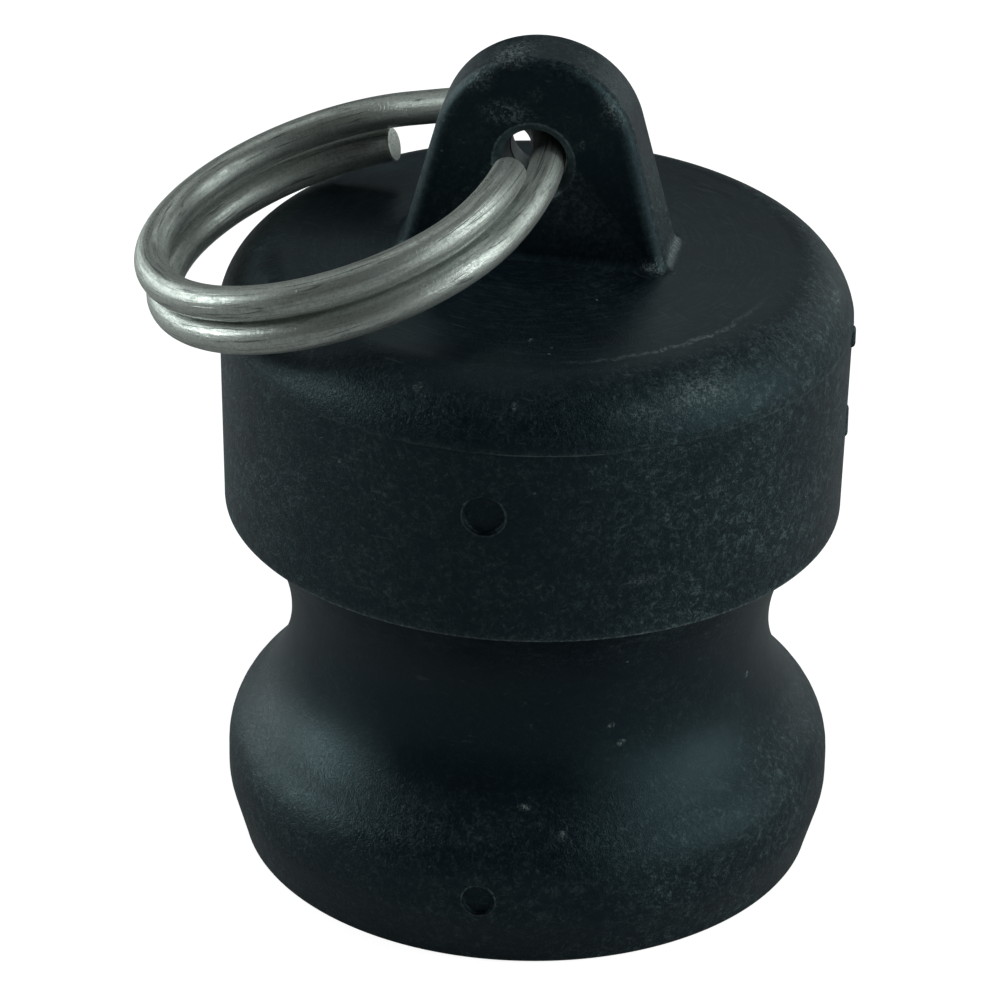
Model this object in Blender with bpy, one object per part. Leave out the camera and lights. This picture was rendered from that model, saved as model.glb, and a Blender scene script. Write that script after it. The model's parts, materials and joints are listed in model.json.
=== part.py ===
"""Camlock dust plug for a 1-inch coupler, with the split ring that ties it to a chain or cord.

The plug is one hollow moulding of black polypropylene: a male camlock profile with the round
groove that the coupler's two cam arms close on, a plain head above it and an eyed lug on top.
The ring is one steel wire wound into two coils.  It goes once through the lug's hole, swings
on it, and lies tipped down on the head's shoulder.  Sizes are in metres, with +Z up.
"""
import math

import bmesh
import bpy
from mathutils import Euler, Matrix, Vector

MM = 0.001

# Plug heights, chained from the tip face upwards
NOSE_HEIGHT = 4.0 * MM
FLANGE_HEIGHT = 1.2 * MM
GROOVE_UPPER = 7.7 * MM
HEAD_SIDE = 11.95 * MM

# Plug radii and the steps between them
BODY_RADIUS = 17.85 * MM
GROOVE_DEPTH = 3.75 * MM
FOOT_PROUD = 0.17 * MM
FOOT_LEDGE = 0.4 * MM
HEAD_TAPER = 0.25 * MM
LIP_PROUD = 0.08 * MM

# Groove's lower half, and the round crest that leads from it onto the flange
GROOVE_ROUND = 8.5 * MM
CREST_ROUND = 4.2 * MM

# Nose: a cone that runs into the flange with a soft bend, and a small round at the tip
NOSE_ANGLE = math.radians(16.1)
NOSE_BLEND = 4.0 * MM
TIP_ROUND = 0.25 * MM

# Shoulder and crown of the head
SHOULDER_RADIUS = 4.14 * MM
SHOULDER_DROP = 0.55 * MM
CROWN_RISE = 0.7 * MM

# Cored underside
NECK_WALL = 3.1 * MM
TOP_WALL = 5.0 * MM
CORE_DRAFT = math.radians(1.0)
CORE_FILLET = 1.5 * MM
MOUTH_CHAMFER = 0.3 * MM

# Lug: a plate with a round top, wider and thicker at its foot
LUG_THICKNESS = 4.3 * MM
LUG_DRAFT = math.radians(1.6)
LUG_ARC_RADIUS = 5.87 * MM
LUG_RISE = 6.36 * MM
LUG_FOOT_WIDTH = 15.0 * MM
LUG_EDGE = 0.5 * MM
LUG_FILLET = 0.6 * MM
LUG_ROOT = 1.0 * MM

# Hole in the lug
HOLE_DROP = 0.34 * MM
HOLE_PLAY = 0.3 * MM
HOLE_CHAMFER = 0.24 * MM

# Marks that the mould leaves: two round dimples in front, two short ridges at the right
DIMPLE_DEPTH = 0.4 * MM
HEAD_DIMPLE_RADIUS = 1.2 * MM
HEAD_DIMPLE_DROP = 4.0 * MM
FLANGE_DIMPLE_RADIUS = 0.95 * MM
RIDGE_WIDTH = 0.6 * MM
SIDE_RIDGE_HEIGHT = 2.0 * MM
SIDE_RIDGE_DROP = 5.6 * MM
SIDE_RIDGE_SETBACK = 0.05 * MM
LIP_RIDGE_HEIGHT = 1.2 * MM
BITE = 1.0 * MM

# Split ring: wire, coils and how it lies
WIRE_RADIUS = 1.0 * MM
COIL_RADIUS = 10.96 * MM
COIL_GAP = 0.16 * MM
REST_GAP = 0.2 * MM
RING_SET_OUT = 1.13 * MM
RING_SINK = 0.31 * MM
RING_SLIDE = math.radians(17.1)
RING_ROLL = math.radians(3.0)

# The wire's run, in degrees round the ring from the hole: front, left, back and again
WIRE_START = 24.3
WIRE_END = 652.8
CROSS_CENTRE = 368.3
CROSS_HALF = 36.0
BOW_CENTRE = 352.3
BOW_HALF = 50.0
BOW = 1.8 * MM
END_LIFT = 0.3 * MM
END_LIFT_SPAN = 40.0

# Facets
TURN_STEPS = 80
HOLE_STEPS = 32
DIMPLE_STEPS = 24
WIRE_STEP = 6.0
WIRE_SIDES_SETTING = 4
MERGE = 0.00001

# How the groove's lower half meets the crest
BEND_REACH = GROOVE_ROUND + CREST_ROUND
BEND_ANGLE = math.acos((BEND_REACH - GROOVE_DEPTH) / BEND_REACH)

# Heights worked out from the chain
FLANGE_Z = NOSE_HEIGHT
CREST_FOOT_Z = FLANGE_Z + FLANGE_HEIGHT
NECK_Z = CREST_FOOT_Z + BEND_REACH * math.sin(BEND_ANGLE)
HEAD_FOOT_Z = NECK_Z + GROOVE_UPPER
LIP_Z = HEAD_FOOT_Z + HEAD_SIDE
SHOULDER_Z = LIP_Z - SHOULDER_DROP
CROWN_EDGE_Z = SHOULDER_Z + SHOULDER_RADIUS
CROWN_Z = CROWN_EDGE_Z + CROWN_RISE
LUG_ARC_Z = CROWN_Z + LUG_RISE
LUG_TOP_Z = LUG_ARC_Z + LUG_ARC_RADIUS
HOLE_Z = LUG_ARC_Z - HOLE_DROP
ROOF_Z = CROWN_Z - TOP_WALL

# Radii worked out from the steps
NECK_RADIUS = BODY_RADIUS - GROOVE_DEPTH
FOOT_RADIUS = BODY_RADIUS + FOOT_PROUD
HEAD_RADIUS = FOOT_RADIUS + HEAD_TAPER
LIP_RADIUS = HEAD_RADIUS + LIP_PROUD
CROWN_EDGE = LIP_RADIUS - math.sqrt(SHOULDER_RADIUS**2 - SHOULDER_DROP**2)
CORE_RADIUS = NECK_RADIUS - NECK_WALL


def remove_everything():
    """Empty the scene, so that the script can be run again."""
    for item in list(bpy.data.objects):
        bpy.data.objects.remove(item, do_unlink=True)


def material(name, colour, roughness, metallic):
    """A plain Principled BSDF material."""
    made = bpy.data.materials.new(name)
    made.use_nodes = True
    shader = made.node_tree.nodes["Principled BSDF"]
    shader.inputs["Base Color"].default_value = (*colour, 1.0)
    shader.inputs["Roughness"].default_value = roughness
    shader.inputs["Metallic"].default_value = metallic
    made.diffuse_color = (*colour, 1.0)
    return made


def arc(centre, radius, start, end, steps):
    """Points on a circle from one angle to another in degrees, both ends included."""
    angles = [math.radians(start + (end - start) * k / steps) for k in range(steps + 1)]
    return [(centre[0] + radius * math.cos(a), centre[1] + radius * math.sin(a)) for a in angles]


def scoop_radius(height, depth):
    """Radius of the arc that is upright at one end and reaches a depth over a height."""
    return (height**2 + depth**2) / (2 * depth)


def crown_height(radius):
    """Height of the slightly domed head top at a radius."""
    return CROWN_Z - CROWN_RISE * (radius / CROWN_EDGE) ** 2


def head_outline():
    """The head from its top centre down to its sharp lower edge, as (radius, height)."""
    crown = [(CROWN_EDGE * k / 4, crown_height(CROWN_EDGE * k / 4)) for k in range(4)]
    lip_angle = math.degrees(math.asin(SHOULDER_DROP / SHOULDER_RADIUS))
    shoulder = arc((CROWN_EDGE, SHOULDER_Z), SHOULDER_RADIUS, 90, lip_angle, 8)
    side = [(HEAD_RADIUS, LIP_Z), (FOOT_RADIUS, HEAD_FOOT_Z)]
    return crown + shoulder + side


def groove_outline():
    """The cam groove from the ledge under the head down onto the round crest."""
    upper_depth = FOOT_RADIUS - FOOT_LEDGE - NECK_RADIUS
    upper = scoop_radius(GROOVE_UPPER, upper_depth)
    upper_angle = math.degrees(math.asin(GROOVE_UPPER / upper))
    bend = math.degrees(BEND_ANGLE)
    above = arc((NECK_RADIUS + upper, NECK_Z), upper, 180 - upper_angle, 180, 8)
    below = arc((NECK_RADIUS + GROOVE_ROUND, NECK_Z), GROOVE_ROUND, 180, 180 + bend, 7)
    return above + below[1:]


def nose_outline():
    """The flange and the cone under it, from the crest down to the tip face."""
    crest_centre = (BODY_RADIUS - CREST_ROUND, CREST_FOOT_Z)
    crest = arc(crest_centre, CREST_ROUND, math.degrees(BEND_ANGLE), 0, 4)
    blend_centre = (BODY_RADIUS - NOSE_BLEND, FLANGE_Z)
    blend = arc(blend_centre, NOSE_BLEND, 0, -math.degrees(NOSE_ANGLE), 3)
    cone_foot = blend[-1][0] - (blend[-1][1] - TIP_ROUND) * math.tan(NOSE_ANGLE)
    tip = arc((cone_foot - TIP_ROUND, TIP_ROUND), TIP_ROUND, 0, -90, 2)
    return crest[1:] + blend + tip


def core_outline():
    """The cored underside, from its mouth in the tip face up to the roof's centre."""
    slope = math.tan(CORE_DRAFT)
    mouth = CORE_RADIUS + NECK_Z * slope
    roof = CORE_RADIUS - (ROOF_Z - NECK_Z) * slope
    rim = [(mouth + MOUTH_CHAMFER, 0.0), (mouth, MOUTH_CHAMFER)]
    fillet = arc((roof - CORE_FILLET, ROOF_Z - CORE_FILLET), CORE_FILLET, 0, 90, 4)
    return rim + fillet + [(0.0, ROOF_Z)]


def turned(name, outline, steps):
    """A body of revolution about Z from an outline that runs down its outer side."""
    mesh = bpy.data.meshes.new(name)
    points = [(radius, 0.0, height) for radius, height in outline]
    edges = [(k, k + 1) for k in range(len(points) - 1)]
    mesh.from_pydata(points, edges, [])
    made = bpy.data.objects.new(name, mesh)
    bpy.context.collection.objects.link(made)
    screw = made.modifiers.new("turn", "SCREW")
    screw.axis = "Z"
    screw.angle = math.tau
    screw.steps = steps
    screw.render_steps = steps
    screw.use_merge_vertices = True
    screw.merge_threshold = MERGE
    screw.use_smooth_shade = True
    return made


def finished(name, shape, parent):
    """Turn a bmesh into a helper object that only shows as wire, carried by its parent."""
    mesh = bpy.data.meshes.new(name)
    bmesh.ops.recalc_face_normals(shape, faces=shape.faces)
    shape.to_mesh(mesh)
    shape.free()
    made = bpy.data.objects.new(name, mesh)
    bpy.context.collection.objects.link(made)
    return as_helper(made, parent)


def as_helper(made, parent):
    """Mark a cutter or an added shape, which the finished model leaves out."""
    made.parent = parent
    made.display_type = "WIRE"
    made.hide_render = True
    return made


def combine(target, helper, operation):
    """Join a helper to the target, or cut it out."""
    modifier = target.modifiers.new(helper.name, "BOOLEAN")
    modifier.operation = operation
    modifier.solver = "EXACT"
    modifier.object = helper


def lug_outline(inset):
    """The lug seen from the front, moved inwards by an inset, from right foot to left foot."""
    foot_z = crown_height(LUG_FOOT_WIDTH / 2) + LUG_FILLET
    reach = math.hypot(LUG_FOOT_WIDTH / 2, LUG_ARC_Z - foot_z)
    tangent = math.acos(LUG_ARC_RADIUS / reach) - math.atan2(LUG_ARC_Z - foot_z, LUG_FOOT_WIDTH / 2)
    top = arc((0.0, LUG_ARC_Z), LUG_ARC_RADIUS - inset, math.degrees(tangent), 180 - math.degrees(tangent), 20)
    root_z = CROWN_EDGE_Z - LUG_ROOT
    root_x = top[0][0] + (top[0][1] - root_z) * math.tan(tangent)
    return [(root_x, root_z)] + top + [(-root_x, root_z)]


def lug_half(height):
    """Half the lug's thickness at a height: its faces open out towards the foot."""
    return LUG_THICKNESS / 2 + (LUG_TOP_Z - height) * math.tan(LUG_DRAFT)


def foot_flare(height):
    """How far the foot fillet spreads at a height over the head's top."""
    lowest = LUG_FILLET * (1 - math.sin(math.radians(75)))
    rise = min(max(height, lowest), LUG_FILLET)
    return LUG_FILLET - math.sqrt(LUG_FILLET**2 - (LUG_FILLET - rise) ** 2)


def lug_shape(parent):
    """The eyed lug: outline loops from back to front, rounded edges and a flared foot."""
    shape = bmesh.new()
    loops = []
    for side in (1, -1):
        turn = range(4) if side == 1 else range(3, -1, -1)
        for k in turn:
            angle = math.radians(90 - 30 * k)
            inset = LUG_EDGE * (1 - math.cos(angle))
            setback = LUG_EDGE * (1 - math.sin(angle))
            outline = lug_outline(inset)
            loops.append([shape.verts.new((x, side * (lug_half(z) - setback), z)) for x, z in outline])
    count = len(loops[0])
    for near, far in zip(loops, loops[1:]):
        for k in range(count):
            after = (k + 1) % count
            shape.faces.new((near[k], near[after], far[after], far[k]))
    shape.faces.new(loops[0])
    shape.faces.new(list(reversed(loops[-1])))
    for angle in (0, 20, 40, 58, 75):
        level = CROWN_EDGE_Z + LUG_FILLET * (1 - math.sin(math.radians(angle)))
        cut = shape.verts[:] + shape.edges[:] + shape.faces[:]
        bmesh.ops.bisect_plane(shape, geom=cut, plane_co=(0, 0, level), plane_no=(0, 0, 1))
    for vert in shape.verts:
        height = vert.co.z - CROWN_EDGE_Z
        if height > LUG_FILLET:
            continue
        spread = foot_flare(height)
        vert.co.x += spread * vert.co.x / (LUG_FOOT_WIDTH / 2)
        vert.co.y += spread * vert.co.y / lug_half(vert.co.z)
        vert.co.z += crown_height(min(math.hypot(vert.co.x, vert.co.y), CROWN_EDGE)) - CROWN_EDGE_Z
    return finished("add_lug", shape, parent)


def dimple_cutter(name, radius, height, floor, parent):
    """A round dimple in the front, with its flat floor at a distance from the axis."""
    shape = bmesh.new()
    depth = DIMPLE_DEPTH + BITE
    place = Matrix.Translation((0, -floor - depth / 2, height)) @ Matrix.Rotation(math.radians(90), 4, "X")
    bmesh.ops.create_cone(
        shape, cap_ends=True, segments=DIMPLE_STEPS, radius1=radius, radius2=radius, depth=depth, matrix=place
    )
    return finished(name, shape, parent)


def ridge_shape(name, height, low, face, parent):
    """A short upright ridge on the right side, with its outer face at a distance."""
    shape = bmesh.new()
    size = Matrix.Diagonal((BITE, RIDGE_WIDTH, height, 1.0))
    place = Matrix.Translation((face - BITE / 2, 0, low + height / 2))
    bmesh.ops.create_cube(shape, size=1.0, matrix=place @ size)
    return finished(name, shape, parent)


def smooth_step(share):
    """Ease from 0 to 1 as the share goes from 0 to 1."""
    return (1 - math.cos(math.pi * min(max(share, 0.0), 1.0))) / 2


def wire_point(degrees):
    """Centre of the wire at an angle round the ring, with the hole's centre as origin."""
    half = WIRE_RADIUS + COIL_GAP / 2
    across = smooth_step((degrees - CROSS_CENTRE + CROSS_HALF) / (2 * CROSS_HALF))
    lift = END_LIFT * smooth_step((WIRE_START + END_LIFT_SPAN - degrees) / END_LIFT_SPAN)
    height = half * (1 - 2 * across) + lift - RING_SINK
    bow_share = min(abs(degrees - BOW_CENTRE) / BOW_HALF, 1.0)
    radius = COIL_RADIUS + BOW * math.cos(bow_share * math.pi / 2) ** 2
    turn = RING_SLIDE - math.radians(degrees)
    reach = COIL_RADIUS + RING_SET_OUT
    x = radius * math.cos(turn) - reach * math.cos(RING_SLIDE)
    y = radius * math.sin(turn) - reach * math.sin(RING_SLIDE)
    return Matrix.Rotation(RING_ROLL, 3, "X") @ Vector((x, y, height))


def wire_run():
    """Points along the whole wire, evenly spaced in angle."""
    count = math.ceil((WIRE_END - WIRE_START) / WIRE_STEP)
    return [wire_point(WIRE_START + (WIRE_END - WIRE_START) * k / count) for k in range(count + 1)]


def hole_radius(run):
    """Radius of the lug's hole: the wire, the room that its bend takes, and the play."""
    inside = [point for point in run if abs(point.y) <= lug_half(HOLE_Z) and point.x > -LUG_ARC_RADIUS]
    bend = max(math.hypot(point.x, point.z) for point in inside)
    return WIRE_RADIUS + bend + HOLE_PLAY


def distance_to_outline(radius, height, outline):
    """Shortest distance from a point to a chain of straight pieces, in the half plane."""
    best = math.inf
    for (r0, z0), (r1, z1) in zip(outline, outline[1:]):
        along = ((radius - r0) * (r1 - r0) + (height - z0) * (z1 - z0)) / ((r1 - r0) ** 2 + (z1 - z0) ** 2)
        along = min(max(along, 0.0), 1.0)
        best = min(best, math.hypot(r0 + along * (r1 - r0) - radius, z0 + along * (z1 - z0) - height))
    return best


def rest_tilt(run):
    """How far the ring tips down about the hole until it lies its rest gap off the head."""
    outline = head_outline()

    def gap(tilt):
        turn = Matrix.Rotation(-tilt, 3, "Y")
        placed = [turn @ point for point in run]
        return min(
            distance_to_outline(math.hypot(p.x, p.y), p.z + HOLE_Z, outline) for p in placed
        ) - WIRE_RADIUS

    step = math.radians(1.0)
    tilt = 0.0
    while gap(tilt + step) > REST_GAP and tilt < math.radians(80):
        tilt += step
    for _ in range(12):
        step /= 2
        if gap(tilt + step) > REST_GAP:
            tilt += step
    return tilt


def hole_cutter(radius, parent):
    """The lug's hole with a small chamfer at each rim, lying along Y."""
    face = lug_half(HOLE_Z)
    past = face + BITE
    half = [(0.0, past), (radius + HOLE_CHAMFER + BITE, past), (radius, face - HOLE_CHAMFER)]
    outline = half + [(r, -z) for r, z in reversed(half)]
    cutter = turned("cut_hole", outline, HOLE_STEPS)
    cutter.location = (0, 0, HOLE_Z)
    cutter.rotation_euler = Euler((math.radians(90), 0, 0))
    return as_helper(cutter, parent)


def make_plug(axis_x, radius):
    """The moulded plug with its lug, hole and mould marks."""
    outline = head_outline() + groove_outline() + nose_outline() + core_outline()
    plug = turned("plug_body", outline, TURN_STEPS)
    plug.location = (axis_x, 0, 0)
    plug.data.materials.append(material("black_polypropylene", (0.013, 0.015, 0.016), 0.5, 0.0))
    added = [
        lug_shape(plug),
        ridge_shape("add_side_ridge", SIDE_RIDGE_HEIGHT, LIP_Z - SIDE_RIDGE_DROP - SIDE_RIDGE_HEIGHT / 2,
                    LIP_RADIUS - SIDE_RIDGE_SETBACK, plug),
        ridge_shape("add_lip_ridge", LIP_RIDGE_HEIGHT, LIP_Z - LIP_RIDGE_HEIGHT / 2, LIP_RADIUS, plug),
    ]
    dimple_z = LIP_Z - HEAD_DIMPLE_DROP
    head_surface = FOOT_RADIUS + HEAD_TAPER * (dimple_z - HEAD_FOOT_Z) / HEAD_SIDE
    removed = [
        hole_cutter(radius, plug),
        dimple_cutter("cut_head_dimple", HEAD_DIMPLE_RADIUS, dimple_z, head_surface - DIMPLE_DEPTH, plug),
        dimple_cutter("cut_flange_dimple", FLANGE_DIMPLE_RADIUS, FLANGE_Z + FLANGE_HEIGHT / 2,
                      BODY_RADIUS - DIMPLE_DEPTH, plug),
    ]
    for helper in added:
        combine(plug, helper, "UNION")
    for helper in removed:
        combine(plug, helper, "DIFFERENCE")
    return plug


def make_ring(run, tilt, plug):
    """The split ring as one wire, with its origin on the hole's axis."""
    curve = bpy.data.curves.new("split_ring", "CURVE")
    curve.dimensions = "3D"
    curve.bevel_depth = WIRE_RADIUS
    curve.bevel_resolution = WIRE_SIDES_SETTING
    curve.use_fill_caps = True
    spline = curve.splines.new("POLY")
    spline.points.add(len(run) - 1)
    for place, point in zip(spline.points, run):
        place.co = (*point, 1.0)
    curve.materials.append(material("drawn_steel_wire", (0.32, 0.32, 0.31), 0.38, 1.0))
    ring = bpy.data.objects.new("split_ring", curve)
    bpy.context.collection.objects.link(ring)
    ring.parent = plug
    ring.location = (0, 0, HOLE_Z)
    ring.rotation_euler = Euler((0, -tilt, 0))
    return ring


def main():
    """Lay the ring on the head, centre both pieces over the origin and make them."""
    remove_everything()
    run = wire_run()
    tilt = rest_tilt(run)
    turn = Matrix.Rotation(-tilt, 3, "Y")
    ring_reach = WIRE_RADIUS - min((turn @ point).x for point in run)
    axis_x = (ring_reach - LIP_RADIUS) / 2
    plug = make_plug(axis_x, hole_radius(run))
    make_ring(run, tilt, plug)


main()
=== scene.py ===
"""Camlock dust plug with its split ring, dressed and lit like a product photograph.

The file is laid out as a Blender add-on and is run as a script.  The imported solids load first
and stay fixed.  Each operator then makes one finished piece over them, or the stage, and the
panel in the 3D view's sidebar lists the operators with the sizes and colours they read.
"""

import json
import math
from types import SimpleNamespace

import bmesh
import bpy
from bpy.props import FloatProperty, FloatVectorProperty, IntProperty, PointerProperty
from mathutils import Euler, Matrix, Vector


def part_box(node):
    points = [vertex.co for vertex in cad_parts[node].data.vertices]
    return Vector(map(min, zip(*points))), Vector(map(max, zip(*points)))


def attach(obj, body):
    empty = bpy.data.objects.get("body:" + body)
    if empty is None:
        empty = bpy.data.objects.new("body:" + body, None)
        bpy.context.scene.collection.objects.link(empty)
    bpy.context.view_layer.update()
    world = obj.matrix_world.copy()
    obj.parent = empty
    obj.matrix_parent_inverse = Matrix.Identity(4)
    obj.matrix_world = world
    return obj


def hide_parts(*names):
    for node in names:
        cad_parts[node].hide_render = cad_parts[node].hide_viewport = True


bl_info = {
    "name": "Camlock Dust Plug",
    "version": (1, 0, 0),
    "blender": (4, 5, 0),
    "location": "3D View > Sidebar > Dust Plug",
    "description": "Makes a moulded camlock dust plug, its split ring and a plain studio",
    "category": "Add Mesh",
}

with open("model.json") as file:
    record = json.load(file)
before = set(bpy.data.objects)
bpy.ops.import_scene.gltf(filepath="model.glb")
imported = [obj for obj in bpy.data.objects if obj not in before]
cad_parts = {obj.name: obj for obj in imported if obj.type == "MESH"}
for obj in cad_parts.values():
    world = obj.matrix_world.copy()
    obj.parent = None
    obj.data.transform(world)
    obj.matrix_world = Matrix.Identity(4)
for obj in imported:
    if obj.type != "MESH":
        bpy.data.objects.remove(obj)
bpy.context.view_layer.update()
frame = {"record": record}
PLUG_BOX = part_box("plug_body")
HOLE = Vector(frame["record"]["behaviour"]["joints"][0]["pos_m"])
AXIS_X = (PLUG_BOX[0][0] + PLUG_BOX[1][0]) / 2
MM = 0.001

# Camera fitted to the outline in the photograph: place from the plug's foot, and turn in degrees
CAMERA_PLACE = (46.02 * MM, -308.40 * MM, 189.15 * MM)
CAMERA_TURN = (61.694, -0.89, 9.315)

# Softboxes: name, azimuth (0 in front of the lug, 90 at its right), elevation, and size in metres
LAMPS = (
    ("left", -86, 16, 0.24),
    ("left_rear", -120, 12, 0.30),
    ("left_high", -120, 68, 0.30),
    ("right", 90, 12, 0.30),
    ("right_front", 60, 12, 0.30),
    ("right_high", 82, 42, 0.22),
    ("right_rear", 150, 12, 0.30),
    ("back", 180, 40, 0.30),
)
LAMP_AIM = Vector((AXIS_X, 0, 0.025))
LAMP_DISTANCE = 0.6
LAMP_COLOUR = (0.93, 1.0, 0.98)
FLOOR_RADIUS = 3.0
FLOOR_WHITE = (0.91, 0.91, 0.91, 1.0)

# How finely the outlines are cut up, and where shading turns sharp
SPACING = 0.55 * MM
ROUND_SIDES = 64
BEND_STEPS = 6
SHARP_ANGLE = math.radians(38)
FILLET_SWEEP = 80  # degrees of the lug's foot fillet, which leaves its last sliver out

# Curvature per mm at which an edge starts to look worn, and over which it gets fully worn
WEAR_FROM = 0.7
WEAR_SPAN = 1.3

# Scuffs, chips and specks that show in the photograph, and pale patches that paint highlights on the shoulder
# and the lug's edge: centre and reach in mm, and strength
MARKS = (
    ((0.5, -0.8, 50.1), (1.7, 1.3, 0.8), 0.55),  # scuff on the lug's round top
    ((-1.3, -2.0, 49.1), (1.1, 0.6, 1.0), 0.30),
    ((0.5, -2.3, 47.1), (1.5, 0.5, 0.8), 0.32),  # flecks over the hole
    ((2.3, -2.2, 48.3), (0.3, 0.4, 0.5), 0.15),
    ((4.9, -2.3, 45.4), (0.16, 0.4, 0.35), 0.50),  # nick right of the hole
    ((6.7, -2.1, 47.8), (0.9, 0.5, 1.3), 0.30),  # painted highlight on the lug's right edge, partly a rubbed edge
    ((9.4, -2.5, 38.4), (1.0, 0.6, 0.5), 0.45),  # chips at the lug's right foot
    ((9.9, 0.5, 38.3), (0.4, 2.2, 0.7), 0.35),
    ((13.4, -13.0, 36.0), (3.0, 2.6, 0.9), 0.30),  # painted highlight on the shoulder, as pale patches
    ((10.3, -15.4, 35.7), (2.0, 1.2, 0.6), 0.22),
    # specks on the top, and a pale fleck on the lip at the far right
    ((-2.0, -16.3, 36.6), (0.3, 0.3, 0.3), 0.45),
    ((3.6, -17.1, 36.3), (0.2, 0.3, 0.3), 0.30),
    ((3.6, -11.6, 37.7), (0.2, 0.2, 0.3), 0.40),
    ((19.4, 0.2, 36.1), (0.5, 1.1, 0.3), 0.45),
    ((10.7, -15.9, 25.5), (1.1, 1.0, 0.4), 0.20),  # specks lower down
    ((15.6, -4.3, 13.4), (0.2, 0.3, 0.2), 0.60),
    ((8.8, -12.4, 13.9), (0.2, 0.3, 0.2), 0.60),
    ((9.4, -12.2, 12.7), (0.3, 0.3, 0.2), 0.50),
    ((4.3, -15.3, 9.6), (0.4, 0.3, 0.2), 0.50),
    ((6.6, -15.9, 8.3), (0.3, 0.3, 0.3), 0.50),
    ((-9.7, -12.5, 7.4), (0.6, 0.6, 0.6), 0.16),
)
MARK_FADE = 1.25  # a mark is full within a quarter of its reach and gone at this share of it


def length(label, description, millimetres):
    """A length property, with its default written in millimetres."""
    size = millimetres * MM
    return FloatProperty(
        name=label, description=description, default=size, unit="LENGTH", subtype="DISTANCE", precision=5
    )


def angle(label, description, degrees):
    """An angle property, with its default written in degrees."""
    return FloatProperty(name=label, description=description, default=math.radians(degrees), subtype="ANGLE")


def tint(label, description, colour):
    """A colour property, in linear red, green and blue."""
    return FloatVectorProperty(
        name=label, description=description, default=colour, subtype="COLOR", size=3, min=0.0, soft_max=1.0
    )


def watts(label, description, power):
    """A lamp's power in watts, or the room's strength."""
    return FloatProperty(name=label, description=description, default=power, min=0.0)


def share(label, description, value):
    """A plain number from 0 to 1."""
    return FloatProperty(
        name=label, description=description, default=value, min=0.0, max=1.0, subtype="FACTOR"
    )


class PlugShape(bpy.types.PropertyGroup):
    """Sizes of the moulded plug."""
    nose_height: length("Nose height", "Cone from the tip face to the flange", 4.0)
    flange_height: length("Flange height", "Upright band at the flange's widest", 1.2)
    groove_upper: length("Groove above the neck", "Height of the cam groove's upper half", 7.7)
    head_side: length("Head side", "Height of the head's side up to its lip", 11.95)
    body_radius: length("Body radius", "Radius of the flange", 17.85)
    groove_depth: length("Groove depth", "Depth of the cam groove below the flange", 3.75)
    groove_round: length("Groove round", "Radius of the cam groove's lower half", 8.5)
    crest_round: length("Crest round", "Radius that leads from the groove onto the flange", 4.2)
    foot_proud: length("Foot", "How far the head's foot stands proud of the flange", 0.17)
    foot_ledge: length("Foot ledge", "Width of the ledge under the head's foot", 0.4)
    head_taper: length("Head taper", "How much wider the head gets up to its lip", 0.25)
    lip_proud: length("Lip", "How far the lip stands proud of the head's side", 0.08)
    nose_angle: angle("Nose angle", "Slope of the cone on the nose", 16.1)
    nose_blend: length("Nose blend", "Radius between the cone and the flange", 4.0)
    tip_round: length("Tip round", "Radius at the tip face's edge", 0.25)
    shoulder_radius: length("Shoulder radius", "Radius between the head's side and its top", 4.14)
    shoulder_drop: length("Shoulder drop", "How far the shoulder's centre lies under the lip", 0.55)
    crown_rise: length("Crown rise", "Height of the slightly domed top", 0.7)
    neck_wall: length("Neck wall", "Wall between the groove and the core", 3.1)
    top_wall: length("Top wall", "Wall over the core", 5.0)
    core_draft: angle("Core draft", "Slope of the core's wall", 1.0)
    core_fillet: length("Core fillet", "Radius at the core's roof", 1.5)
    mouth_chamfer: length("Mouth chamfer", "Broken edge at the core's mouth", 0.3)
    unevenness: length("Unevenness", "How far the moulded surface sinks here and there", 0.03)
    flash: length("Flash", "How ragged the lip's moulding line is", 0.07)
    turn_steps: IntProperty(name="Turn steps", description="Facets round the plug", default=224, min=24)


class LugShape(bpy.types.PropertyGroup):
    """Sizes of the eyed lug and of the small mould marks."""
    thickness: length("Thickness", "Lug from front to back at its top", 4.3)
    draft: angle("Draft", "How far the lug's faces open out towards the foot", 1.6)
    arc_radius: length("Top radius", "Radius of the lug's round top", 5.87)
    rise: length("Rise", "Height of the round top's centre over the crown", 6.36)
    foot_width: length("Foot width", "Width over the lug's foot", 15.0)
    edge: length("Edge radius", "Rounding of the lug's edges", 0.85)
    fillet: length("Foot fillet", "Fillet between the lug and the head", 0.6)
    hole_radius: length("Hole radius", "Radius of the lug's hole inside its flared rims", 1.88)
    hole_waist: length("Hole waist", "Radius where the mould's two pins met", 1.70)
    hole_flare: length("Hole flare", "How much wider the hole is at its rims", 0.49)
    hole_flare_depth: length("Flare depth", "How deep the flare runs in", 0.35)
    dimple_depth: length("Dimple depth", "Depth of the two round dimples in front", 0.28)
    dimple_burr: length("Dimple burr", "How far the ragged rim of a dimple stands out", 0.05)
    head_dimple: length("Head dimple radius", "Radius of the dimple in the head", 1.2)
    head_dimple_drop: length("Head dimple drop", "Depth of the head's dimple below the lip", 4.0)
    flange_dimple: length("Flange dimple radius", "Radius of the dimple in the flange", 0.95)
    ridge_turn: angle("Ridge turn", "How far behind the right side the ridges sit", 2.5)
    ridge_proud: length("Ridge proud", "How far the ridges stand past the lip", 0.11)
    ridge_width: length("Ridge width", "Width of the two ridges at the right", 0.6)
    ridge_edge: length("Ridge edge", "Rounding of the ridges", 0.27)
    side_ridge_drop: length("Side ridge drop", "Depth of the side ridge's middle below the lip", 5.9)
    side_ridge_height: length("Side ridge height", "Height of the side ridge", 2.1)
    side_ridge_setback: length("Side ridge setback", "How far it sits behind the lip ridge", 0.20)
    lip_ridge_drop: length("Lip ridge drop", "Depth of the lip ridge's middle below the lip", 0.45)
    lip_ridge_height: length("Lip ridge height", "Height of the ridge on the lip", 1.4)


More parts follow.
